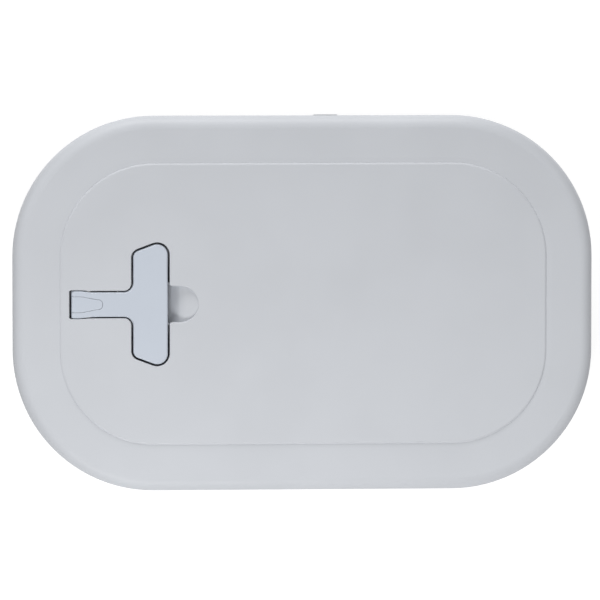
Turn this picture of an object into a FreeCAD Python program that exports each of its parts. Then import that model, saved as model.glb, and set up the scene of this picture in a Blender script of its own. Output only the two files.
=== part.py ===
import FreeCAD, Part
import math
import os

# Hinged access hatch: a rounded lid on a coaming frame, with a flush T handle that turns two hooks.
# Millimetres and degrees. Z is up from the deck plane, which is the underside of the frame's flange.
# X runs from the latch end (-) to the hinge end (+).

V = FreeCAD.Vector
Y_AXIS = V(0, 1, 0)

# How far a cutter runs past what it cuts, and how near two values count as the same
overrun = 1.0
same_place = 1e-4

# Lid
lid_length = 440.0
lid_width = 284.0
end_straight_half = 35.5
lid_top_z = 24.0
plate_thickness = 3.0
skirt_wall = 3.0
edge_round = 9.0
skirt_gap = 0.8
panel_inset = 35.4
panel_step = 0.7
panel_edge_bevel = 0.8
valley_width = 4.0
valley_depth = 0.2
rib_thickness = 1.8
rib_depth = 6.0
rib_rows_y = (-70.0, -35.0, 0.0, 35.0, 70.0)
rib_column_inset = 80.0
rib_column_pitch = 50.0
rib_column_count = 5

# Gasket and the channel that holds it
gasket_width = 6.6
gasket_rest_gap = 0.3
gasket_side_gap = 0.2
gasket_edge_bevel = 1.2
channel_rib = 2.0
channel_depth = 6.0

# Frame
flange_inset = 0.5
flange_thickness = 4.0
flange_edge_bevel = 1.2
coaming_inset = 35.5
coaming_wall = 3.0
coaming_top_z = 17.0
spigot_depth = 30.0
screw_inset = 18.0
screw_hole_radius = 2.25
countersink_radius = 4.5
long_side_screw_x = 60.0
short_side_screw_y = 30.0
gusset_reach = 9.5
gusset_height = 9.0
gusset_thickness = 2.0
long_side_gussets_x = (-90.0, -30.0, 0.0, 30.0, 90.0)
corner_gusset_angles = (20.0, 70.0)
edge_nub_x = 18.0
edge_nub_length = 18.0
edge_nub_proud = 0.45
edge_nub_height = 2.5

# Hinge
hinge_inset = 5.2
hinge_z = 10.5
knuckle_radius = 4.7
knuckle_width = 12.4
knuckle_gap = 0.4
hinge_pin_radius = 2.0
hinge_pin_bevel = 0.4
pin_running_gap = 0.05
pin_hold_gap = 0.02
hinge_leg_in = 5.3
hinge_leg_out = 1.7
swing_gap = 0.3
lid_open_angle = 100.0
relief_half_width = 70.0

# T handle, with its places along X measured from the lid's latch end
handle_end_in = 43.9
handle_end_half = 10.35
handle_corner_round = 0.8
taper_start_in = 51.1
taper_end_in = 59.2
stem_half = 9.35
bar_left_in = 90.9
bar_right_in = 116.85
bar_left_half = 39.2
bar_slant = 20.6
bar_left_round = 5.3
bar_right_round = 8.0
stem_fillet = 7.2
taper_round = 15.0
handle_thickness = 8.0
handle_end_round = 2.5
handle_edge_bevel = 0.8
bar_under_bevel = 3.0
core_wall = 2.4
core_depth = 5.0
core_rib = 1.8
core_round = 1.5

# Recess round the handle
end_gap = 1.45
end_side_gap = 0.5
stem_gap = 1.05
bar_gap = 1.6
recess_floor_z = 3.0
recess_wall = 1.8
recess_edge_bevel = 0.5
handle_rest_gap = 0.3
handle_rest_in = 80.0
handle_rest_width = 3.0

# Finger scoop beside the bar: a shallow floor, then a slope that goes down under the bar
scoop_past_bar = 9.3
scoop_radius = 13.8
scoop_crease_past_bar = 10.0
scoop_crease_depth = 4.3
scoop_crease_round = 18.0
scoop_floor_tilt = 14.0
scoop_slope = 40.0
scoop_under_bar = 10.5
scoop_mouth_round = 2.0
scoop_wall = 2.5

# Latch shaft and what is on it, outward from the recess
pivot_from_end = 13.0
pivot_z = 16.5
boss_radius = 6.5
shaft_radius = 2.5
shaft_running_gap = 0.05
shaft_wall_gap = 0.4
shaft_bore_gap = 0.02
seal_pocket_depth = 3.5
seal_pocket_floor = 2.95
seal_section = 1.4
seal_side_gap = 0.05
seal_bevel = 0.28
seat_gap = 0.02
bush_wall = 1.4
bush_flange_radius = 5.5
bush_flange = 1.5
spring_room = 4.6
spring_radius = 3.7
spring_wire = 0.9
spring_pitch = 1.0
spring_turns = 3.25
spring_leg_gap = 0.05
spacer_wall = 1.45
axial_gap = 0.2
hook_thickness = 6.0
hook_hub_radius = 4.0
hook_arm_in = 3.0
hook_arm_out = 4.0
hook_reach = 16.5
hook_toe_low = 12.3
hook_toe_thickness = 4.0
hook_corner_round = 4.0
hook_inner_round = 2.0
hook_tip_round = 0.8
key_flat = 1.9
clip_thickness = 0.7
clip_radius = 4.2
clip_mouth = 3.2
clip_groove_radius = 2.0
clip_end_margin = 0.8

# Handle screw and the cap over it, with the cap's places along X measured from the pivot
cap_seat_z = 22.2
cap_half = 5.9
cap_taper_start = -5.1
cap_taper_end = 6.9
cap_tip = 10.65
cap_tip_half = 3.6
cap_shoulder_round = 2.0
cap_tip_round_share = 0.9
cap_seam = 0.25
handle_screw_radius = 1.5
handle_screw_head_radius = 2.8
handle_screw_head = 2.2
handle_screw_head_bevel = 0.7
handle_screw_reach = 3.6
handle_screw_socket = 1.4
handle_screw_socket_depth = 1.2
screw_gap = 0.1

# Strike plate
strike_thickness = 1.2
strike_end_gap = 3.5
strike_low_z = 1.0
strike_tab_reach = 5.5
strike_toe_gap = 0.3
strike_tab_overhang = 1.0
strike_screw_y = 17.5
strike_screw_z = 5.0
strike_screw_radius = 1.5
strike_screw_head_radius = 3.0
strike_screw_head = 1.8
strike_screw_head_bevel = 0.9
strike_screw_length = 8.0
strike_screw_cross = 3.4
strike_screw_cross_width = 0.8
strike_screw_cross_depth = 1.2
strike_boss_radius = 3.5
strike_boss_length = 5.5

# Worked out from the values above
half_length = lid_length / 2
half_width = lid_width / 2
corner_radius = half_width - end_straight_half
plate_under_z = lid_top_z - plate_thickness
rim_z = lid_top_z - panel_step
skirt_low_z = flange_thickness + skirt_gap
corner_x = half_length - corner_radius
corner_y = end_straight_half
coaming_outer_x = half_length - coaming_inset
coaming_inner_x = coaming_outer_x - coaming_wall
gasket_middle_inset = coaming_inset + coaming_wall / 2
gasket_outer_inset = gasket_middle_inset - gasket_width / 2
gasket_inner_inset = gasket_middle_inset + gasket_width / 2
channel_outer_inset = gasket_outer_inset - gasket_side_gap
channel_inner_inset = gasket_inner_inset + gasket_side_gap
hinge_x = half_length - hinge_inset
lid_swing_radius = hinge_z - flange_thickness - swing_gap
hinge_half_width = (5 * knuckle_width + 4 * knuckle_gap) / 2
handle_end_x = handle_end_in - half_length
taper_start_x = taper_start_in - half_length
taper_end_x = taper_end_in - half_length
bar_left_x = bar_left_in - half_length
bar_right_x = bar_right_in - half_length
handle_rest_x = handle_rest_in - half_length
scoop_x = bar_right_x + scoop_past_bar
scoop_end_x = bar_right_x - scoop_under_bar
pivot_x = handle_end_x + pivot_from_end
handle_low_z = lid_top_z - handle_thickness
recess_side = handle_end_half + end_side_gap
seal_start_y = recess_side + seal_pocket_floor
boss_end_y = seal_start_y + seal_pocket_depth
bush_end_y = boss_end_y + bush_flange
hook_start_y = bush_end_y + spring_room
hook_end_y = hook_start_y + hook_thickness
clip_start_y = hook_end_y + axial_gap
clip_end_y = clip_start_y + clip_thickness
shaft_end_y = clip_end_y + clip_end_margin
seat_radius = shaft_radius + shaft_running_gap + bush_wall
toe_top_z = pivot_z - hook_toe_low + hook_toe_thickness
toe_tip_x = pivot_x - hook_reach
strike_half_width = end_straight_half - strike_end_gap


def box(x_low, x_high, y_low, y_high, z_low, z_high):
    """Straight block between two corners."""
    return Part.makeBox(x_high - x_low, y_high - y_low, z_high - z_low, V(x_low, y_low, z_low))


def rod_y(x, z, radius, y_low, y_high):
    """Round rod along Y."""
    return Part.makeCylinder(radius, y_high - y_low, V(x, y_low, z), Y_AXIS)


def rounded_wire(corners, z=0.0):
    """Closed outline from (x, y, radius) corners, each rounded by its own tangent arc."""
    count = len(corners)
    starts = []
    ends = []
    middles = []
    for i in range(count):
        here = V(corners[i][0], corners[i][1], z)
        back = V(corners[i - 1][0], corners[i - 1][1], z) - here
        ahead = V(corners[(i + 1) % count][0], corners[(i + 1) % count][1], z) - here
        back.normalize()
        ahead.normalize()
        radius = corners[i][2]
        half_angle = back.getAngle(ahead) / 2
        if radius <= 0:
            starts.append(here)
            ends.append(here)
            middles.append(None)
            continue
        reach = radius / math.tan(half_angle)
        inward = back + ahead
        inward.normalize()
        starts.append(here + back * reach)
        ends.append(here + ahead * reach)
        middles.append(here + inward * (radius / math.sin(half_angle) - radius))
    edges = []
    for i in range(count):
        if middles[i] is not None:
            edges.append(Part.Arc(starts[i], middles[i], ends[i]).toShape())
        following = starts[(i + 1) % count]
        if (following - ends[i]).Length > same_place:
            edges.append(Part.LineSegment(ends[i], following).toShape())
    return Part.Wire(edges)


def prism(corners, z_low, z_high):
    """Upright solid on a rounded outline."""
    face = Part.Face(rounded_wire(corners, z_low))
    return face.extrude(V(0, 0, z_high - z_low))


def side_prism(corners, y_low, y_high):
    """Solid whose rounded outline lies in X and Z, carried along Y."""
    face = Part.Face(rounded_wire(corners))
    face.rotate(V(0, 0, 0), V(1, 0, 0), 90)
    face.translate(V(0, y_low, 0))
    return face.extrude(V(0, y_high - y_low, 0))


def outline(inset):
    """Corners of the hatch outline, moved inwards by the inset."""
    x = half_length - inset
    y = half_width - inset
    radius = corner_radius - inset
    return [(-x, -y, radius), (x, -y, radius), (x, y, radius), (-x, y, radius)]


def plate(inset, z_low, z_high):
    return prism(outline(inset), z_low, z_high)


def ring(outer_inset, inner_inset, z_low, z_high):
    return plate(outer_inset, z_low, z_high).cut(plate(inner_inset, z_low - overrun, z_high + overrun))


def level_edges(shape, z):
    """Edges that lie wholly at one height."""
    found = []
    for edge in shape.Edges:
        bounds = edge.BoundBox
        if abs(bounds.ZMin - z) < same_place and abs(bounds.ZMax - z) < same_place:
            found.append(edge)
    return found


def tee(end=0.0, side=0.0, stem=0.0, bar=0.0, corner=0.0):
    """Corners of the T outline, grown by a gap at its end, its sides, its stem and its bar."""
    slant = math.radians(bar_slant)
    left_x = bar_left_x - bar
    right_x = bar_right_x + bar
    left_y = bar_left_half - bar * math.tan(slant) + bar / math.cos(slant)
    right_y = left_y + (right_x - left_x) * math.tan(slant)
    upper = [
        (handle_end_x - end, handle_end_half + side, corner),
        (taper_start_x, handle_end_half + side, taper_round),
        (taper_end_x, stem_half + stem, taper_round),
        (left_x, stem_half + stem, stem_fillet - bar),
        (left_x, left_y, bar_left_round + bar),
        (right_x, right_y, bar_right_round + bar),
    ]
    lower = [(x, -y, radius) for x, y, radius in reversed(upper)]
    return upper + lower


def recess_tee(extra=0.0):
    corner = handle_corner_round + end_side_gap + extra
    return tee(end_gap + extra, end_side_gap + extra, stem_gap + extra, bar_gap + extra, corner)


def scoop_outline(grown, x_low):
    """Top view of the finger scoop: a channel with a round end, and a rounded mouth at the recess."""
    half = scoop_radius + grown
    mouth_round = scoop_mouth_round - grown
    upper = [(scoop_x + half, half, half)]
    if mouth_round > 0:
        mouth_x = bar_right_x + bar_gap + grown
        upper.append((mouth_x, half, mouth_round))
        half += mouth_round
        upper.append((mouth_x, half, 0.0))
    upper.append((x_low, half, 0.0))
    lower = [(x, -y, radius) for x, y, radius in reversed(upper)]
    return upper + lower


def scoop_form(wall, z_low, z_high):
    """Finger slot whose shallow floor breaks into a slope going down under the bar."""
    tilt = math.tan(math.radians(scoop_floor_tilt))
    slope = math.tan(math.radians(scoop_slope))
    drop = wall / math.cos(math.radians(scoop_slope))
    crease_x = bar_right_x + scoop_crease_past_bar
    crease_z = lid_top_z - scoop_crease_depth - drop
    far_x = scoop_x + scoop_radius + wall + overrun
    profile = [
        (scoop_end_x, crease_z - (crease_x - scoop_end_x) * slope, 0.0),
        (crease_x, crease_z, scoop_crease_round),
        (far_x, crease_z + (far_x - crease_x) * tilt, 0.0),
        (far_x, lid_top_z + overrun, 0.0),
        (scoop_end_x, lid_top_z + overrun, 0.0),
    ]
    half = scoop_radius + wall
    return side_prism(profile, -half - overrun, half + overrun).common(
        prism(scoop_outline(wall, scoop_end_x), z_low, z_high)
    )


def scoop_flare():
    """What bevels the scoop's rim."""
    low = lid_top_z - recess_edge_bevel
    flare = prism(scoop_outline(recess_edge_bevel, bar_right_x), low, lid_top_z + overrun)
    return flare.makeChamfer(recess_edge_bevel, level_edges(flare, low))


def knuckle_span(index):
    """Y limits of one of the five hinge knuckles."""
    y_low = -hinge_half_width + index * (knuckle_width + knuckle_gap)
    return y_low, y_low + knuckle_width


def lid_blank():
    """Outer form of the lid, with its rounded edge, raised panel and shallow valley."""
    blank = plate(0, skirt_low_z, rim_z)
    blank = blank.makeFillet(edge_round, level_edges(blank, rim_z))
    valley_outer = rounded_wire(outline(panel_inset - valley_width), rim_z)
    valley_inner = rounded_wire(outline(panel_inset), rim_z - valley_depth)
    blank = blank.cut(Part.makeLoft([valley_inner, valley_outer], True, True))
    panel = plate(panel_inset, plate_under_z, lid_top_z)
    panel = panel.makeChamfer(panel_edge_bevel, level_edges(panel, lid_top_z))
    return blank.fuse(panel)


def lid_cavity():
    cavity = plate(skirt_wall, skirt_low_z - overrun, plate_under_z)
    return cavity.makeChamfer(edge_round - skirt_wall, level_edges(cavity, plate_under_z))


def lid_ribs():
    """Gasket channel and stiffening ribs under the plate."""
    into_plate = plate_under_z + overrun
    channel_low = plate_under_z - channel_depth
    rib_low = plate_under_z - rib_depth
    inner = channel_inner_inset + channel_rib / 2
    ribs = []
    for y in rib_rows_y:
        start = scoop_x if abs(y) < bar_left_half else -half_length
        y_low = y - rib_thickness / 2
        ribs.append(box(start, half_length, y_low, y_low + rib_thickness, rib_low, into_plate))
    for index in range(rib_column_count):
        x_low = half_length - rib_column_inset - index * rib_column_pitch - rib_thickness / 2
        ribs.append(box(x_low, x_low + rib_thickness, -half_width, half_width, rib_low, into_plate))
    grid = ribs[0].multiFuse(ribs[1:]).common(plate(inner, rib_low, into_plate))
    outer_ring = ring(channel_outer_inset - channel_rib, channel_outer_inset, channel_low, into_plate)
    inner_ring = ring(channel_inner_inset, channel_inner_inset + channel_rib, channel_low, into_plate)
    return [grid, outer_ring, inner_ring]


def lid_hinge_webs():
    """Two knuckles with the webs that carry them to the plate."""
    pieces = []
    for index in (1, 3):
        y_low, y_high = knuckle_span(index)
        pieces.append(rod_y(hinge_x, hinge_z, knuckle_radius, y_low, y_high))
        x_low = hinge_x - knuckle_radius
        pieces.append(box(x_low, half_length, y_low, y_high, hinge_z, plate_under_z + overrun))
    return pieces


def lid_hinge_cuts():
    """Room for the frame's knuckles and for the swing of the lid's own edge."""
    far = hinge_inset + edge_round
    reach = hinge_z - skirt_low_z + 2 * overrun
    low = box(hinge_x, hinge_x + far, -relief_half_width, relief_half_width, hinge_z - reach, hinge_z)
    cuts = [low.cut(rod_y(hinge_x, hinge_z, lid_swing_radius, -half_width, half_width))]
    leg_angle = math.degrees(math.asin((hinge_leg_out + knuckle_gap) / knuckle_radius))
    notch_rise = far * math.tan(math.radians(lid_open_angle - 90 + leg_angle))
    for index in (0, 2, 4):
        y_low, y_high = knuckle_span(index)
        y_low -= knuckle_gap
        y_high += knuckle_gap
        cuts.append(rod_y(hinge_x, hinge_z, knuckle_radius + knuckle_gap, y_low, y_high))
        wedge = [
            (hinge_x, hinge_z, 0.0),
            (hinge_x, hinge_z - reach, 0.0),
            (hinge_x + far, hinge_z - reach, 0.0),
            (hinge_x + far, hinge_z + notch_rise, 0.0),
        ]
        cuts.append(side_prism(wedge, y_low, y_high))
    bore = hinge_pin_radius + pin_running_gap
    cuts.append(rod_y(hinge_x, hinge_z, bore, -hinge_half_width, hinge_half_width))
    return cuts


def make_lid():
    blank = lid_blank()
    shell = blank.cut(lid_cavity())
    webs = lid_hinge_webs()
    webs = webs[0].multiFuse(webs[1:]).common(blank)
    recess_under_z = recess_floor_z - recess_wall
    recess_walls = prism(recess_tee(recess_wall), recess_under_z, plate_under_z + overrun)
    scoop_shell = scoop_form(scoop_wall, recess_under_z, plate_under_z + overrun)
    added = lid_ribs() + [webs, recess_walls, scoop_shell]
    for side in (-1, 1):
        y_low, y_high = sorted((side * recess_side, side * boss_end_y))
        added.append(rod_y(pivot_x, pivot_z, boss_radius, y_low, y_high).common(blank))
    lid = shell.multiFuse(added)
    ramp = scoop_form(scoop_wall, recess_under_z, handle_low_z - handle_rest_gap)
    lid = lid.cut(prism(recess_tee(), recess_floor_z, lid_top_z + overrun).cut(ramp))
    edges = []
    for edge in level_edges(lid, lid_top_z):
        if edge.BoundBox.XMax < scoop_x:
            edges.append(edge)
    lid = lid.makeChamfer(recess_edge_bevel, edges)
    lid = lid.cut(scoop_form(0.0, recess_floor_z, lid_top_z + overrun)).cut(scoop_flare())
    rest = box(
        handle_rest_x - handle_rest_width / 2,
        handle_rest_x + handle_rest_width / 2,
        -stem_half - stem_gap - overrun,
        stem_half + stem_gap + overrun,
        recess_floor_z - overrun,
        handle_low_z - handle_rest_gap,
    )
    lid = lid.fuse(rest).removeSplitter()
    cuts = lid_hinge_cuts()
    for side in (-1, 1):
        y_low, y_high = sorted((side * (recess_side - overrun), side * (boss_end_y + overrun)))
        cuts.append(rod_y(pivot_x, pivot_z, shaft_radius + shaft_wall_gap, y_low, y_high))
        y_low, y_high = sorted((side * seal_start_y, side * (boss_end_y + overrun)))
        cuts.append(rod_y(pivot_x, pivot_z, seat_radius + seat_gap, y_low, y_high))
        y_low, y_high = sorted((side * boss_end_y, side * (bush_end_y + axial_gap)))
        cuts.append(rod_y(pivot_x, pivot_z, bush_flange_radius + axial_gap, y_low, y_high))
    for cutter in cuts:
        lid = lid.cut(cutter)
    return lid


def make_gasket():
    low = coaming_top_z + gasket_rest_gap
    body = ring(gasket_outer_inset, gasket_inner_inset, low, plate_under_z)
    return body.makeChamfer(gasket_edge_bevel, level_edges(body, low))


def screw_places():
    """Places of the deck screws in the flange."""
    corner = (corner_radius - screw_inset) * math.sqrt(0.5)
    places = []
    for sx in (-1, 1):
        for sy in (-1, 1):
            places.append((sx * (corner_x + corner), sy * (corner_y + corner)))
            places.append((sx * long_side_screw_x, sy * (half_width - screw_inset)))
            places.append((sx * (half_length - screw_inset), sy * short_side_screw_y))
    return places


def gusset(x, y, angle):
    """Triangular rib from the coaming's outer face to the flange, pointing along the angle."""
    root = -coaming_wall / 2
    low = flange_thickness / 2
    face = Part.Face(
        Part.makePolygon(
            [
                V(root, 0, low),
                V(gusset_reach, 0, low),
                V(gusset_reach, 0, flange_thickness),
                V(0, 0, flange_thickness + gusset_height),
                V(root, 0, flange_thickness + gusset_height),
                V(root, 0, low),
            ]
        )
    )
    face.translate(V(0, -gusset_thickness / 2, 0))
    rib = face.extrude(V(0, gusset_thickness, 0))
    rib.rotate(V(0, 0, 0), V(0, 0, 1), angle)
    rib.translate(V(x, y, 0))
    return rib


def frame_gussets():
    ribs = []
    side_y = half_width - coaming_inset
    for x in long_side_gussets_x:
        ribs.append(gusset(x, side_y, 90))
        ribs.append(gusset(x, -side_y, -90))
    radius = corner_radius - coaming_inset
    for sx in (-1, 1):
        for sy in (-1, 1):
            for angle in corner_gusset_angles:
                turn = math.radians(angle)
                x = sx * (corner_x + radius * math.cos(turn))
                y = sy * (corner_y + radius * math.sin(turn))
                ribs.append(gusset(x, y, math.degrees(math.atan2(sy * math.sin(turn), sx * math.cos(turn)))))
    return ribs


def frame_knuckles():
    pieces = []
    root = flange_thickness / 2 - hinge_z
    for index in (0, 2, 4):
        y_low, y_high = knuckle_span(index)
        pieces.append(rod_y(hinge_x, hinge_z, knuckle_radius, y_low, y_high))
        leg = [
            (hinge_x - hinge_leg_in, hinge_z + root, 0.0),
            (hinge_x + hinge_leg_out, hinge_z + root, 0.0),
            (hinge_x + hinge_leg_out, hinge_z, 0.0),
            (hinge_x - knuckle_radius, hinge_z, 0.0),
        ]
        pieces.append(side_prism(leg, y_low, y_high))
    return pieces


def make_frame():
    flange = plate(flange_inset, 0, flange_thickness)
    flange = flange.makeChamfer(flange_edge_bevel, level_edges(flange, flange_thickness))
    coaming = plate(coaming_inset, -spigot_depth, coaming_top_z)
    nub_y = half_width - flange_inset
    nub = box(
        edge_nub_x - edge_nub_length / 2,
        edge_nub_x + edge_nub_length / 2,
        nub_y - flange_edge_bevel,
        half_width + edge_nub_proud,
        0,
        edge_nub_height,
    )
    bosses = []
    for side in (-1, 1):
        foot = V(-coaming_inner_x - coaming_wall / 2, side * strike_screw_y, strike_screw_z)
        bosses.append(
            Part.makeCylinder(strike_boss_radius, strike_boss_length + coaming_wall / 2, foot, V(-1, 0, 0))
        )
    frame = flange.multiFuse([coaming, nub] + bosses + frame_gussets() + frame_knuckles())
    opening = plate(coaming_inset + coaming_wall, -spigot_depth - overrun, coaming_top_z + overrun)
    frame = frame.cut(opening).removeSplitter()
    for x, y in screw_places():
        sink = countersink_radius - screw_hole_radius
        hole = Part.makeCylinder(screw_hole_radius, flange_thickness + 2 * overrun, V(x, y, -overrun))
        cone = Part.makeCone(screw_hole_radius, countersink_radius, sink, V(x, y, flange_thickness - sink))
        frame = frame.cut(hole.fuse(cone))
    bore = hinge_pin_radius + pin_hold_gap
    frame = frame.cut(rod_y(hinge_x, hinge_z, bore, -hinge_half_width - overrun, hinge_half_width + overrun))
    for side in (-1, 1):
        start = V(-coaming_inner_x + overrun, side * strike_screw_y, strike_screw_z)
        depth = strike_screw_length + overrun
        frame = frame.cut(Part.makeCylinder(strike_screw_radius, depth, start, V(-1, 0, 0)))
    return frame


def make_hinge_pin():
    pin = rod_y(hinge_x, hinge_z, hinge_pin_radius, -hinge_half_width, hinge_half_width)
    return pin.makeChamfer(hinge_pin_bevel, [pin.Edges[0], pin.Edges[2]])


def make_strike_plate():
    """Bent plate on the coaming's inner face, with a tab over each hook's toe."""
    x_low = -coaming_inner_x
    x_high = x_low + strike_thickness
    tab_low = toe_top_z + strike_toe_gap
    tab_high = tab_low + strike_thickness
    body = box(x_low, x_high, -strike_half_width, strike_half_width, strike_low_z, tab_high)
    for side in (-1, 1):
        middle = side * (hook_start_y + hook_end_y) / 2
        half = hook_thickness / 2 + strike_tab_overhang
        tab = box(x_low, x_low + strike_tab_reach, middle - half, middle + half, tab_low, tab_high)
        body = body.fuse(tab)
    body = body.removeSplitter()
    hole_radius = strike_screw_radius + screw_gap
    for side in (-1, 1):
        start = V(x_low - overrun, side * strike_screw_y, strike_screw_z)
        body = body.cut(Part.makeCylinder(hole_radius, strike_thickness + 2 * overrun, start, V(1, 0, 0)))
    return body


def make_strike_screws():
    """Two cross recessed pan head screws, through the plate into the coaming's bosses."""
    long_half = strike_screw_cross / 2
    short_half = strike_screw_cross_width / 2
    screws = []
    for side in (-1, 1):
        seat = V(-coaming_inner_x + strike_thickness, side * strike_screw_y, strike_screw_z)
        head = Part.makeCylinder(strike_screw_head_radius, strike_screw_head, seat, V(1, 0, 0))
        rim = max(head.Edges, key=lambda edge: edge.BoundBox.XMin)
        head = head.makeChamfer(strike_screw_head_bevel, [rim])
        top_x = seat.x + strike_screw_head
        for y_half, z_half in ((long_half, short_half), (short_half, long_half)):
            slot = box(
                top_x - strike_screw_cross_depth,
                top_x + overrun,
                seat.y - y_half,
                seat.y + y_half,
                seat.z - z_half,
                seat.z + z_half,
            )
            head = head.cut(slot)
        shank = Part.makeCylinder(strike_screw_radius, strike_screw_length, seat, V(-1, 0, 0))
        screws.append(head.fuse(shank))
    return Part.makeCompound(screws)


def cap_corners(grown=0.0):
    half = cap_half + grown
    tip = cap_tip_half + grown
    tip_round = tip * cap_tip_round_share
    end = handle_end_x - overrun
    return [
        (end, half, 0.0),
        (pivot_x + cap_taper_start, half, cap_shoulder_round),
        (pivot_x + cap_taper_end, tip, cap_shoulder_round),
        (pivot_x + cap_tip + grown, tip, tip_round),
        (pivot_x + cap_tip + grown, -tip, tip_round),
        (pivot_x + cap_taper_end, -tip, cap_shoulder_round),
        (pivot_x + cap_taper_start, -half, cap_shoulder_round),
        (end, -half, 0.0),
    ]


def handle_blank():
    """T form of the handle with its rounded end, boss and edges."""
    blank = prism(tee(), handle_low_z, lid_top_z)
    inner = handle_end_x + handle_end_round
    low = lid_top_z - handle_end_round
    corner = box(handle_end_x - overrun, inner, -bar_left_half, bar_left_half, low, lid_top_z + overrun)
    past_y = bar_left_half + overrun
    corner = corner.cut(rod_y(inner, low, handle_end_round, -past_y, past_y))
    blank = blank.cut(corner)
    edges = []
    for edge in level_edges(blank, lid_top_z):
        if edge.BoundBox.XMax > inner + same_place:
            edges.append(edge)
    blank = blank.makeChamfer(handle_edge_bevel, edges)
    under = []
    for edge in level_edges(blank, handle_low_z):
        if edge.BoundBox.XMin > bar_left_x + same_place:
            under.append(edge)
    blank = blank.makeChamfer(bar_under_bevel, under)
    blank = blank.common(prism(tee(corner=handle_corner_round), handle_low_z, lid_top_z))
    boss = rod_y(pivot_x, pivot_z, boss_radius, -handle_end_half, handle_end_half)
    boss = boss.common(box(handle_end_x, bar_left_x, -bar_left_half, bar_left_half, 0, pivot_z))
    return blank.fuse(boss).removeSplitter()


def make_handle():
    handle = handle_blank()
    handle = handle.cut(prism(cap_corners(cap_seam), cap_seat_z, lid_top_z + overrun))
    core_start = pivot_x + boss_radius + core_wall
    core_end = bar_left_x - core_wall
    core_middle = (core_start + core_end) / 2
    half = stem_half - core_wall
    for x_low, x_high in ((core_start, core_middle - core_rib / 2), (core_middle + core_rib / 2, core_end)):
        corners = [
            (x_low, -half, core_round),
            (x_high, -half, core_round),
            (x_high, half, core_round),
            (x_low, half, core_round),
        ]
        handle = handle.cut(prism(corners, handle_low_z - overrun, handle_low_z + core_depth))
    bore = shaft_radius + shaft_bore_gap
    handle = handle.cut(rod_y(pivot_x, pivot_z, bore, -handle_end_half - overrun, handle_end_half + overrun))
    head_z = cap_seat_z - handle_screw_head
    head_radius = handle_screw_head_radius + screw_gap
    handle = handle.cut(Part.makeCylinder(head_radius, handle_screw_head + overrun, V(pivot_x, 0, head_z)))
    foot_z = pivot_z - handle_screw_reach
    hole_radius = handle_screw_radius + screw_gap
    depth = head_z - foot_z + overrun
    handle = handle.cut(Part.makeCylinder(hole_radius, depth, V(pivot_x, 0, foot_z - screw_gap)))
    return handle


def make_pivot_cap():
    return handle_blank().common(prism(cap_corners(), cap_seat_z, lid_top_z + overrun))


def make_handle_screw():
    head_z = cap_seat_z - handle_screw_head
    height = handle_screw_head - screw_gap
    head = Part.makeCylinder(handle_screw_head_radius, height, V(pivot_x, 0, head_z))
    rim = level_edges(head, head_z + height)
    head = head.makeChamfer(handle_screw_head_bevel, rim)
    foot_z = pivot_z - handle_screw_reach
    shank = Part.makeCylinder(handle_screw_radius, head_z - foot_z + height / 2, V(pivot_x, 0, foot_z))
    screw = head.fuse(shank)
    top_z = head_z + height
    corners = []
    for step in range(6):
        turn = math.radians(60 * step)
        x = pivot_x + handle_screw_socket * math.cos(turn)
        corners.append((x, handle_screw_socket * math.sin(turn), 0.0))
    return screw.cut(prism(corners, top_z - handle_screw_socket_depth, top_z + overrun))


def make_shaft():
    """Stainless shaft with keying flats, clip grooves and the cross hole for the screw."""
    shaft = rod_y(pivot_x, pivot_z, shaft_radius, -shaft_end_y, shaft_end_y)
    across = 2 * shaft_radius
    flat = pivot_z + key_flat
    for side in (-1, 1):
        y_low, y_high = sorted((side * (hook_start_y - axial_gap), side * (shaft_end_y + overrun)))
        shaft = shaft.cut(box(pivot_x - across, pivot_x + across, y_low, y_high, flat, flat + across))
        y_low, y_high = sorted((side * (clip_start_y - seat_gap), side * (clip_end_y + seat_gap)))
        groove = rod_y(pivot_x, pivot_z, shaft_radius + overrun, y_low, y_high)
        groove = groove.cut(rod_y(pivot_x, pivot_z, clip_groove_radius, y_low, y_high))
        shaft = shaft.cut(groove)
    hole_radius = handle_screw_radius + screw_gap / 2
    return shaft.cut(Part.makeCylinder(hole_radius, 2 * across, V(pivot_x, 0, pivot_z - across)))


def make_bush(side):
    bore = shaft_radius + shaft_running_gap
    seal_end_y = seal_start_y + seal_section + 2 * seal_side_gap
    low, high = sorted((side * seal_end_y, side * boss_end_y))
    bush = rod_y(pivot_x, pivot_z, seat_radius, low, high)
    low, high = sorted((side * boss_end_y, side * bush_end_y))
    bush = bush.fuse(rod_y(pivot_x, pivot_z, bush_flange_radius, low, high))
    return bush.cut(rod_y(pivot_x, pivot_z, bore, -bush_end_y - overrun, bush_end_y + overrun))


def make_seal(side):
    """Lathe-cut rubber ring with bevelled corners."""
    bore = shaft_radius + shaft_running_gap
    start = seal_start_y + seal_side_gap
    y_low, y_high = sorted((side * start, side * (start + seal_section)))
    ring_blank = rod_y(pivot_x, pivot_z, bore + seal_section, y_low, y_high)
    ring_blank = ring_blank.makeChamfer(seal_bevel, [ring_blank.Edges[0], ring_blank.Edges[2]])
    return ring_blank.cut(rod_y(pivot_x, pivot_z, bore, y_low - overrun, y_high + overrun))


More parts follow.
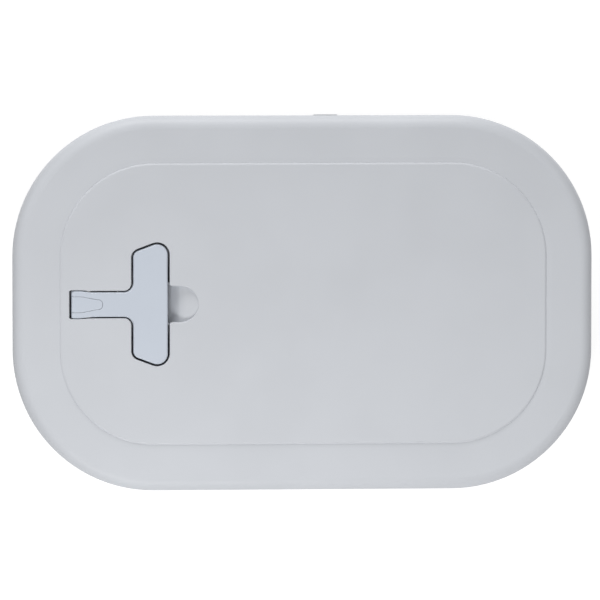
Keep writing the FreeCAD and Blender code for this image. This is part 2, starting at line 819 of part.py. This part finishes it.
def make_spring():
    """Torsion spring of square wire: one leg stands under the lid, the other bears on the front hook."""
    half = spring_wire / 2
    coil = Part.makeHelix(spring_pitch, spring_pitch * spring_turns, spring_radius)
    inner = spring_radius - half
    outer = spring_radius + half
    section = Part.makePolygon(
        [V(inner, 0, -half), V(outer, 0, -half), V(outer, 0, half), V(inner, 0, half), V(inner, 0, -half)]
    )
    body = Part.Wire(coil).makePipeShell([section], True, True)
    leg_up = plate_under_z - axial_gap - pivot_z
    body = body.fuse(box(inner, outer, -leg_up, 0, -half, half))
    end_z = spring_pitch * spring_turns
    past = hook_arm_in + spring_leg_gap
    body = body.fuse(box(-past - spring_wire, 0, inner, outer, end_z - half, end_z + half))
    body = body.fuse(
        box(-past - spring_wire, -past, inner, outer, end_z - half, end_z + half + hook_thickness / 2)
    )
    body.rotate(V(0, 0, 0), V(0, 0, 1), 180)
    body.rotate(V(0, 0, 0), V(1, 0, 0), 90)
    body.translate(V(pivot_x, -bush_end_y - axial_gap - half, pivot_z))
    return body


def make_spacer():
    bore = shaft_radius + shaft_running_gap
    y_low = bush_end_y + axial_gap
    y_high = hook_start_y - axial_gap
    tube = rod_y(pivot_x, pivot_z, bore + spacer_wall, y_low, y_high)
    return tube.cut(rod_y(pivot_x, pivot_z, bore, y_low - overrun, y_high + overrun))


def make_hook(side):
    """Hook plate keyed to the shaft's flat, with its toe under the strike plate's tab."""
    toe_low = pivot_z - hook_toe_low
    corners = [
        (pivot_x + hook_arm_in, pivot_z, 0.0),
        (pivot_x - hook_arm_out, pivot_z, 0.0),
        (pivot_x - hook_arm_out, toe_top_z, hook_inner_round),
        (toe_tip_x, toe_top_z, hook_tip_round),
        (toe_tip_x, toe_low, hook_inner_round),
        (pivot_x + hook_arm_in, toe_low, hook_corner_round),
    ]
    y_low, y_high = sorted((side * hook_start_y, side * hook_end_y))
    hook = side_prism(corners, y_low, y_high)
    hook = hook.fuse(rod_y(pivot_x, pivot_z, hook_hub_radius, y_low, y_high)).removeSplitter()
    bore = rod_y(pivot_x, pivot_z, shaft_radius + shaft_bore_gap, y_low - overrun, y_high + overrun)
    flat = pivot_z + key_flat + shaft_bore_gap
    across = 2 * shaft_radius
    past_low = y_low - 2 * overrun
    past_high = y_high + 2 * overrun
    bore = bore.cut(box(pivot_x - across, pivot_x + across, past_low, past_high, flat, flat + across))
    return hook.cut(bore)


def make_clip(side):
    y_low, y_high = sorted((side * clip_start_y, side * clip_end_y))
    clip = rod_y(pivot_x, pivot_z, clip_radius, y_low, y_high)
    clip = clip.cut(rod_y(pivot_x, pivot_z, clip_groove_radius + seat_gap, y_low - overrun, y_high + overrun))
    half = clip_mouth / 2
    return clip.cut(box(pivot_x - half, pivot_x + half, y_low - overrun, y_high + overrun, 0, pivot_z))


nodes = {
    "lid": make_lid(),
    "lid_gasket": make_gasket(),
    "frame": make_frame(),
    "hinge_pin": make_hinge_pin(),
    "strike_plate": make_strike_plate(),
    "strike_plate_screws": make_strike_screws(),
    "handle": make_handle(),
    "pivot_cap": make_pivot_cap(),
    "handle_screw": make_handle_screw(),
    "handle_shaft": make_shaft(),
    "latch_spring": make_spring(),
    "shaft_spacer": make_spacer(),
}
for place, side in (("front", -1), ("back", 1)):
    nodes["shaft_bush_" + place] = make_bush(side)
    nodes["shaft_seal_" + place] = make_seal(side)
    nodes["latch_hook_" + place] = make_hook(side)
    nodes["shaft_clip_" + place] = make_clip(side)

os.makedirs("parts", exist_ok=True)
for name, shape in nodes.items():
    shape.exportStep(os.path.join("parts", name + ".step"))
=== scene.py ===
"""Hinged access hatch: finishes for each moulding and fitting, and a plain studio to show it in."""

import math

import bmesh
import bpy
from mathutils import Matrix, Vector


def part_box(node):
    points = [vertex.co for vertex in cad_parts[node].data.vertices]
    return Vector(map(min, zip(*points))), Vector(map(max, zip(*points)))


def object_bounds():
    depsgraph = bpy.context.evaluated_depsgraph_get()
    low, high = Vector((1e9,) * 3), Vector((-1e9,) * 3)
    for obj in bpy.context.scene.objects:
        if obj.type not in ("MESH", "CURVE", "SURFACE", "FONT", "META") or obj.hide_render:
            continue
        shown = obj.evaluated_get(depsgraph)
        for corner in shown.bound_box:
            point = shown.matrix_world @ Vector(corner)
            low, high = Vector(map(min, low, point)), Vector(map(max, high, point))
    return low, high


bl_info = {
    "name": "Hinged Access Hatch",
    "version": (1, 0, 0),
    "blender": (4, 5, 0),
    "location": "View3D > Sidebar > Hatch",
    "description": "Finishes a hinged deck hatch and sets up a plain studio round it",
    "category": "Object",
}

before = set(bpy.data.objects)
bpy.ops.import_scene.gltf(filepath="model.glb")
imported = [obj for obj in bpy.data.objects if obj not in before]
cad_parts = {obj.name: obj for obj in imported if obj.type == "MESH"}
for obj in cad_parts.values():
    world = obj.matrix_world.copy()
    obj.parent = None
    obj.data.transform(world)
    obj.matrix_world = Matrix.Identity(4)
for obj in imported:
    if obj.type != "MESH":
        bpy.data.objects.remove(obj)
LOADED_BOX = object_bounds()

MM = 0.001

LID_NODES = ("lid",)
FRAME_NODES = ("frame",)
HANDLE_NODES = ("handle", "pivot_cap")
BEARING_NODES = ("shaft_bush_front", "shaft_bush_back", "shaft_spacer")
RUBBER_NODES = ("lid_gasket", "shaft_seal_front", "shaft_seal_back")
TURNED_NODES = ("hinge_pin", "handle_shaft")
PRESSED_NODES = (
    "strike_plate",
    "latch_hook_front",
    "latch_hook_back",
    "shaft_clip_front",
    "shaft_clip_back",
)
SCREW_NODES = ("strike_plate_screws", "handle_screw")
SPRING_NODES = ("latch_spring",)

# Squeeze of a noise along X, Y and Z, which turns its spots into lines.
EVEN = (1.0, 1.0, 1.0)
BEARING_RINGS = (1.0, 12.0, 1.0)
TURNED_RINGS = (1.0, 14.0, 1.0)
WIRE_RINGS = (1.0, 6.0, 1.0)
BRUSHED_ACROSS = (12.0, 0.6, 12.0)

# Most of a noise's values lie between these two.
NOISE_LOW, NOISE_HIGH = 0.3, 0.7

# Numbers of a colour mix node's sockets, because its other types' sockets have the same names.
MIX_FACTOR, MIX_FIRST, MIX_SECOND, MIX_RESULT = 0, 6, 7, 2

BEVEL_SAMPLES = 6
WHITE = (1.0, 1.0, 1.0, 1.0)
FLOOR_REACH = 20.0
CAMERA_CLIP_END = 100.0

# Where each lamp stands, and the side of its square face, in metres.
LAMPS = {
    "key": ((-0.3, 2.9, 0.8), 1.5),
    "fill": ((-0.22, -0.72, 0.74), 0.35),
    "edge": ((-1.3, -0.1, 0.7), 0.08),
    "side": ((1.15, -0.75, 0.65), 0.08),
}


def colour_property(name, description, default):
    """Colour that the sidebar shows as a swatch."""
    return bpy.props.FloatVectorProperty(
        name=name, description=description, default=default, min=0.0, max=1.0, subtype="COLOR"
    )


def power_property(name, description, default):
    """Power of a lamp, in watts."""
    return bpy.props.FloatProperty(
        name=name, description=description, default=default, min=0.0, unit="POWER"
    )


class HatchFinish(bpy.types.PropertyGroup):
    """Colours and surface of the mouldings and fittings."""

    lid_colour: colour_property("Lid", "Colour of the lid's moulding", (0.545, 0.563, 0.596))
    frame_colour: colour_property("Frame", "Colour of the frame's moulding", (0.530, 0.545, 0.570))
    handle_colour: colour_property(
        "Handle", "Colour of the handle and its cap", (0.522, 0.566, 0.636)
    )
    bearing_colour: colour_property(
        "Bearings", "Colour of the bushes and the spacer", (0.700, 0.680, 0.600)
    )
    rubber_colour: colour_property(
        "Rubber", "Colour of the gasket and the shaft seals", (0.022, 0.022, 0.024)
    )
    steel_colour: colour_property(
        "Stainless steel", "Colour of the metal fittings", (0.600, 0.595, 0.580)
    )
    grain_size: bpy.props.FloatProperty(
        name="Grain size",
        description="Size of the fine grain moulded into the lid and frame",
        default=0.7 * MM,
        min=0.1 * MM,
        unit="LENGTH",
    )
    grain_depth: bpy.props.FloatProperty(
        name="Grain depth",
        description="Depth of the moulded grain",
        default=0.03 * MM,
        min=0.0,
        unit="LENGTH",
    )
    edge_softness: bpy.props.FloatProperty(
        name="Edge softness",
        description="Radius to which sharp edges look worn",
        default=0.25 * MM,
        min=0.0,
        unit="LENGTH",
    )


class HatchStudio(bpy.types.PropertyGroup):
    """Camera, lamps and floor."""

    lean_left: bpy.props.FloatProperty(
        name="Camera lean to the latch end",
        description="Angle between straight down and the camera, towards the latch end",
        default=math.radians(4.0),
        subtype="ANGLE",
    )
    lean_back: bpy.props.FloatProperty(
        name="Camera lean to the back",
        description="Angle between straight down and the camera, towards the back edge",
        default=math.radians(3.8),
        subtype="ANGLE",
    )
    camera_distance: bpy.props.FloatProperty(
        name="Camera distance",
        description="Distance from the camera to the lid",
        default=5.0,
        unit="LENGTH",
    )
    seen_width: bpy.props.FloatProperty(
        name="Seen width",
        description="Width that the camera sees at the lid",
        default=0.4553,
        unit="LENGTH",
    )
    aim_x: bpy.props.FloatProperty(
        name="Aim along the hatch",
        description="Where the camera aims, from the middle of the hatch",
        default=-2.1 * MM,
        unit="LENGTH",
    )
    aim_y: bpy.props.FloatProperty(
        name="Aim across the hatch",
        description="Where the camera aims, from the middle of the hatch",
        default=2.1 * MM,
        unit="LENGTH",
    )
    sky_strength: bpy.props.FloatProperty(
        name="Room light",
        description="Even light from all round",
        default=0.399,
        min=0.0,
    )
    key_power: power_property("Key lamp", "Power of the lamp behind the hatch", 72.0)
    fill_power: power_property("Fill lamp", "Power of the lamp in front of the hatch", 5.7)
    edge_power: power_property("Edge lamp", "Power of the small lamp past the latch end", 1.3)
    side_power: power_property("Side lamp", "Power of the small lamp past the hinge end", 2.2)
    floor_colour: colour_property("Floor", "Colour of the studio floor", (0.38, 0.38, 0.38))
    floor_glow: bpy.props.FloatProperty(
        name="Floor white level",
        description="White added to the floor as the camera sees it",
        default=0.80,
        min=0.0,
    )


def new_material(name):
    """Material with a principled shader, and short ways to its nodes and links."""
    material = bpy.data.materials.new(name)
    material.use_nodes = True
    tree = material.node_tree
    return material, tree.nodes, tree.links, tree.nodes["Principled BSDF"]


def object_noise(nodes, links, size, detail, squeeze=EVEN):
    """Noise fixed to the object, with spots of about one size, squeezed into lines if asked."""
    place = nodes.new("ShaderNodeTexCoord")
    mapping = nodes.new("ShaderNodeMapping")
    mapping.inputs["Scale"].default_value = squeeze
    noise = nodes.new("ShaderNodeTexNoise")
    noise.inputs["Scale"].default_value = 1.0 / size
    noise.inputs["Detail"].default_value = detail
    links.new(place.outputs["Object"], mapping.inputs["Vector"])
    links.new(mapping.outputs["Vector"], noise.inputs["Vector"])
    return noise


def spread(nodes, links, source, low, high):
    """A noise's usual values, spread between two others."""
    reach = nodes.new("ShaderNodeMapRange")
    reach.interpolation_type = "SMOOTHSTEP"
    reach.inputs["From Min"].default_value = NOISE_LOW
    reach.inputs["From Max"].default_value = NOISE_HIGH
    reach.inputs["To Min"].default_value = low
    reach.inputs["To Max"].default_value = high
    links.new(source.outputs["Fac"], reach.inputs["Value"])
    return reach


def vary_colour(nodes, links, shader, source, colour, change):
    """Base colour that drifts a little lighter and darker with a noise."""
    mix = nodes.new("ShaderNodeMix")
    mix.data_type = "RGBA"
    darker = [c * (1.0 - change) for c in colour]
    lighter = [min(c * (1.0 + change), 1.0) for c in colour]
    mix.inputs[MIX_FIRST].default_value = [*darker, 1.0]
    mix.inputs[MIX_SECOND].default_value = [*lighter, 1.0]
    share = spread(nodes, links, source, low=0.0, high=1.0)
    links.new(share.outputs["Result"], mix.inputs[MIX_FACTOR])
    links.new(mix.outputs[MIX_RESULT], shader.inputs["Base Color"])


def vary_roughness(nodes, links, shader, source, low, high):
    """Roughness that a noise carries from one value to another."""
    rough = spread(nodes, links, source, low, high)
    links.new(rough.outputs["Result"], shader.inputs["Roughness"])


def relief(nodes, links, shader, source, depth, softness):
    """Relief of a given depth over softened edges."""
    bevel = nodes.new("ShaderNodeBevel")
    bevel.samples = BEVEL_SAMPLES
    bevel.inputs["Radius"].default_value = softness
    bump = nodes.new("ShaderNodeBump")
    bump.inputs["Strength"].default_value = 1.0
    bump.inputs["Distance"].default_value = depth
    links.new(source.outputs["Fac"], bump.inputs["Height"])
    links.new(bevel.outputs["Normal"], bump.inputs["Normal"])
    links.new(bump.outputs["Normal"], shader.inputs["Normal"])


def moulded_plastic(name, colour, finish, smoothest, roughest):
    """Fine grained, matt moulding."""
    material, nodes, links, shader = new_material(name)
    grain = object_noise(nodes, links, size=finish.grain_size, detail=3.0)
    drift = object_noise(nodes, links, size=60 * MM, detail=2.0)
    vary_colour(nodes, links, shader, drift, colour, change=0.015)
    vary_roughness(nodes, links, shader, grain, smoothest, roughest)
    relief(nodes, links, shader, grain, finish.grain_depth, finish.edge_softness)
    shader.inputs["IOR"].default_value = 1.46
    return material


def satin_plastic(name, colour, finish):
    """Smoother moulding that hands keep polished."""
    material, nodes, links, shader = new_material(name)
    grain = object_noise(nodes, links, size=1.6 * MM, detail=2.0)
    drift = object_noise(nodes, links, size=30 * MM, detail=2.0)
    vary_colour(nodes, links, shader, drift, colour, change=0.006)
    vary_roughness(nodes, links, shader, grain, low=0.28, high=0.34)
    relief(nodes, links, shader, grain, depth=0.008 * MM, softness=2 * finish.edge_softness)
    shader.inputs["IOR"].default_value = 1.50
    shader.inputs["Coat Weight"].default_value = 0.3
    shader.inputs["Coat Roughness"].default_value = 0.22
    return material


def bearing_plastic(name, colour, finish):
    """Turned bearing plastic with faint cutting lines round its axis."""
    material, nodes, links, shader = new_material(name)
    lines = object_noise(nodes, links, size=3.0 * MM, detail=2.0, squeeze=BEARING_RINGS)
    vary_colour(nodes, links, shader, lines, colour, change=0.02)
    vary_roughness(nodes, links, shader, lines, low=0.42, high=0.54)
    relief(nodes, links, shader, lines, depth=0.015 * MM, softness=finish.edge_softness)
    return material


def seal_rubber(name, colour, finish):
    """Dull rubber with a dusty, slightly pitted skin."""
    material, nodes, links, shader = new_material(name)
    pits = object_noise(nodes, links, size=0.9 * MM, detail=4.0)
    dust = object_noise(nodes, links, size=14 * MM, detail=3.0)
    vary_colour(nodes, links, shader, dust, colour, change=0.35)
    vary_roughness(nodes, links, shader, pits, low=0.62, high=0.8)
    relief(nodes, links, shader, pits, depth=0.04 * MM, softness=finish.edge_softness)
    shader.inputs["Sheen Weight"].default_value = 0.12
    shader.inputs["Sheen Roughness"].default_value = 0.5
    return material


def stainless(name, finish, squeeze, smoothest, roughest):
    """Stainless steel whose fine lines run the way the piece was worked."""
    material, nodes, links, shader = new_material(name)
    lines = object_noise(nodes, links, size=2.4 * MM, detail=4.0, squeeze=squeeze)
    cloud = object_noise(nodes, links, size=9 * MM, detail=2.0)
    vary_colour(nodes, links, shader, cloud, finish.steel_colour, change=0.05)
    vary_roughness(nodes, links, shader, lines, smoothest, roughest)
    relief(nodes, links, shader, lines, depth=0.006 * MM, softness=finish.edge_softness)
    shader.inputs["Metallic"].default_value = 1.0
    return material


def dress(names, material):
    """Gives CAD nodes one finish."""
    for name in names:
        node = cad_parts[name]
        node.data.materials.clear()
        node.data.materials.append(material)


class HATCH_OT_lid(bpy.types.Operator):
    """Finish the lid's moulding"""

    bl_idname = "hatch.lid"
    bl_label = "Lid"

    def execute(self, context):
        finish = context.scene.hatch_finish
        moulding = moulded_plastic(
            "lid_moulding", finish.lid_colour, finish, smoothest=0.46, roughest=0.58
        )
        dress(LID_NODES, moulding)
        return {"FINISHED"}


class HATCH_OT_frame(bpy.types.Operator):
    """Finish the frame's moulding"""

    bl_idname = "hatch.frame"
    bl_label = "Frame"

    def execute(self, context):
        finish = context.scene.hatch_finish
        moulding = moulded_plastic(
            "frame_moulding", finish.frame_colour, finish, smoothest=0.50, roughest=0.62
        )
        dress(FRAME_NODES, moulding)
        return {"FINISHED"}


class HATCH_OT_handle(bpy.types.Operator):
    """Finish the T handle and the cap over its screw"""

    bl_idname = "hatch.handle"
    bl_label = "Handle"

    def execute(self, context):
        finish = context.scene.hatch_finish
        moulding = satin_plastic("handle_moulding", finish.handle_colour, finish)
        dress(HANDLE_NODES, moulding)
        return {"FINISHED"}


class HATCH_OT_bearings(bpy.types.Operator):
    """Finish the shaft's bushes and spacer"""

    bl_idname = "hatch.bearings"
    bl_label = "Bushes and spacer"

    def execute(self, context):
        finish = context.scene.hatch_finish
        turned = bearing_plastic("bearing_plastic", finish.bearing_colour, finish)
        dress(BEARING_NODES, turned)
        return {"FINISHED"}


class HATCH_OT_seals(bpy.types.Operator):
    """Finish the gasket and the shaft's seals"""

    bl_idname = "hatch.seals"
    bl_label = "Gasket and seals"

    def execute(self, context):
        finish = context.scene.hatch_finish
        rubber = seal_rubber("seal_rubber", finish.rubber_colour, finish)
        dress(RUBBER_NODES, rubber)
        return {"FINISHED"}


class HATCH_OT_turned_steel(bpy.types.Operator):
    """Finish the pin, the shaft and the screws, which are turned"""

    bl_idname = "hatch.turned_steel"
    bl_label = "Pin, shaft and screws"

    def execute(self, context):
        finish = context.scene.hatch_finish
        turned = stainless("turned_steel", finish, TURNED_RINGS, smoothest=0.22, roughest=0.34)
        dress(TURNED_NODES + SCREW_NODES, turned)
        return {"FINISHED"}


class HATCH_OT_pressed_steel(bpy.types.Operator):
    """Finish the strike plate, the hooks and the clips, which are cut from sheet"""

    bl_idname = "hatch.pressed_steel"
    bl_label = "Strike plate, hooks and clips"

    def execute(self, context):
        finish = context.scene.hatch_finish
        brushed = stainless("brushed_steel", finish, BRUSHED_ACROSS, smoothest=0.28, roughest=0.44)
        dress(PRESSED_NODES, brushed)
        return {"FINISHED"}


class HATCH_OT_spring(bpy.types.Operator):
    """Finish the latch spring's drawn wire"""

    bl_idname = "hatch.spring"
    bl_label = "Latch spring"

    def execute(self, context):
        finish = context.scene.hatch_finish
        drawn = stainless("spring_wire", finish, WIRE_RINGS, smoothest=0.18, roughest=0.3)
        dress(SPRING_NODES, drawn)
        return {"FINISHED"}


def background_rays(nodes, links):
    """1 for camera, glossy and transmission rays, and 0 for the rays that light the object."""
    path = nodes.new("ShaderNodeLightPath")
    seen = path.outputs["Is Camera Ray"]
    for name in ("Is Glossy Ray", "Is Transmission Ray"):
        highest = nodes.new("ShaderNodeMath")
        highest.operation = "MAXIMUM"
        links.new(seen, highest.inputs[0])
        links.new(path.outputs[name], highest.inputs[1])
        seen = highest.outputs["Value"]
    return seen


def studio_room(studio):
    """Even light from all round, which the camera sees as white."""
    world = bpy.data.worlds.new("studio_room")
    bpy.context.scene.world = world
    world.use_nodes = True
    nodes = world.node_tree.nodes
    links = world.node_tree.links
    nodes.clear()
    seen = background_rays(nodes, links)
    room = nodes.new("ShaderNodeBackground")
    room.inputs["Strength"].default_value = studio.sky_strength
    white = nodes.new("ShaderNodeBackground")
    mix = nodes.new("ShaderNodeMixShader")
    output = nodes.new("ShaderNodeOutputWorld")
    for background in (room, white):
        background.inputs["Color"].default_value = WHITE
    links.new(seen, mix.inputs["Fac"])
    links.new(room.outputs["Background"], mix.inputs[1])
    links.new(white.outputs["Background"], mix.inputs[2])
    links.new(mix.outputs["Shader"], output.inputs["Surface"])


def studio_floor(studio, height):
    """Pale floor that stays white to the camera, with the hatch's soft shadow on it."""
    mesh = bpy.data.meshes.new("studio_floor")
    form = bmesh.new()
    bmesh.ops.create_grid(form, x_segments=1, y_segments=1, size=FLOOR_REACH)
    form.to_mesh(mesh)
    form.free()
    floor = bpy.data.objects.new("studio_floor", mesh)
    floor.location = (0.0, 0.0, height)
    bpy.context.scene.collection.objects.link(floor)
    material, nodes, links, shader = new_material("studio_floor")
    nodes.remove(shader)
    matt = nodes.new("ShaderNodeBsdfDiffuse")
    matt.inputs["Color"].default_value = [*studio.floor_colour, 1.0]
    glow = nodes.new("ShaderNodeEmission")
    strength = nodes.new("ShaderNodeMath")
    strength.operation = "MULTIPLY"
    strength.inputs[1].default_value = studio.floor_glow
    both = nodes.new("ShaderNodeAddShader")
    links.new(background_rays(nodes, links), strength.inputs[0])
    links.new(strength.outputs["Value"], glow.inputs["Strength"])
    links.new(matt.outputs["BSDF"], both.inputs[0])
    links.new(glow.outputs["Emission"], both.inputs[1])
    links.new(both.outputs["Shader"], nodes["Material Output"].inputs["Surface"])
    mesh.materials.append(material)


def look_at(place, target):
    """Placement that looks from one point to another with +Y upwards in the picture."""
    back = (place - target).normalized()
    right = Vector((0.0, 1.0, 0.0)).cross(back).normalized()
    up = back.cross(right)
    turn = Matrix((right, up, back)).transposed().to_4x4()
    return Matrix.Translation(place) @ turn


def soft_lamp(name, place, target, size, power):
    """Square lamp that faces the hatch."""
    data = bpy.data.lights.new(name, "AREA")
    data.shape = "SQUARE"
    data.size = size
    data.energy = power
    lamp = bpy.data.objects.new(name, data)
    lamp.matrix_world = look_at(Vector(place), target)
    bpy.context.scene.collection.objects.link(lamp)


def studio_camera(studio, target):
    """Camera at the photograph's viewing angle, far enough off to see nearly straight lines."""
    data = bpy.data.cameras.new("camera")
    data.lens = data.sensor_width * studio.camera_distance / studio.seen_width
    data.clip_end = CAMERA_CLIP_END
    camera = bpy.data.objects.new("camera", data)
    lean = Vector((-math.tan(studio.lean_left), math.tan(studio.lean_back), 1.0)).normalized()
    aim = Vector((studio.aim_x, studio.aim_y, target.z))
    camera.matrix_world = look_at(aim + lean * studio.camera_distance, aim)
    bpy.context.scene.collection.objects.link(camera)
    bpy.context.scene.camera = camera


class HATCH_OT_studio(bpy.types.Operator):
    """Set up the floor, the lamps, the room light and the camera"""

    bl_idname = "hatch.studio"
    bl_label = "Studio"

    def execute(self, context):
        studio = context.scene.hatch_studio
        lowest, highest = LOADED_BOX
        lid_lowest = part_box("lid")[0]
        target = Vector((0.0, 0.0, (lid_lowest.z + highest.z) / 2))
        studio_room(studio)
        studio_floor(studio, lowest.z)
        for name, (place, size) in LAMPS.items():
            power = getattr(studio, f"{name}_power")
            soft_lamp(f"{name}_lamp", place, target, size, power)
        studio_camera(studio, target)
        context.scene.view_settings.view_transform = "Standard"
        return {"FINISHED"}


class HATCH_PT_panel(bpy.types.Panel):
    """Sidebar panel with the hatch's finishes and studio"""

    bl_label = "Access hatch"
    bl_idname = "HATCH_PT_panel"
    bl_space_type = "VIEW_3D"
    bl_region_type = "UI"
    bl_category = "Hatch"

    def draw(self, context):
        layout = self.layout
        for operator in OPERATORS:
            layout.operator(operator.bl_idname)
        for settings in (context.scene.hatch_finish, context.scene.hatch_studio):
            box = layout.box()
            for name in settings.bl_rna.properties.keys():
                if name not in ("rna_type", "name"):
                    box.prop(settings, name)


OPERATORS = (
    HATCH_OT_lid,
    HATCH_OT_frame,
    HATCH_OT_handle,
    HATCH_OT_bearings,
    HATCH_OT_seals,
    HATCH_OT_turned_steel,
    HATCH_OT_pressed_steel,
    HATCH_OT_spring,
    HATCH_OT_studio,
)
CLASSES = (HatchFinish, HatchStudio) + OPERATORS + (HATCH_PT_panel,)


def register():
    for cls in CLASSES:
        bpy.utils.register_class(cls)
    bpy.types.Scene.hatch_finish = bpy.props.PointerProperty(type=HatchFinish)
    bpy.types.Scene.hatch_studio = bpy.props.PointerProperty(type=HatchStudio)


def unregister():
    del bpy.types.Scene.hatch_studio
    del bpy.types.Scene.hatch_finish
    for cls in reversed(CLASSES):
        bpy.utils.unregister_class(cls)


def main():
    register()
    bpy.ops.hatch.lid()
    bpy.ops.hatch.frame()
    bpy.ops.hatch.handle()
    bpy.ops.hatch.bearings()
    bpy.ops.hatch.seals()
    bpy.ops.hatch.turned_steel()
    bpy.ops.hatch.pressed_steel()
    bpy.ops.hatch.spring()
    bpy.ops.hatch.studio()


if __name__ == "__main__":
    main()
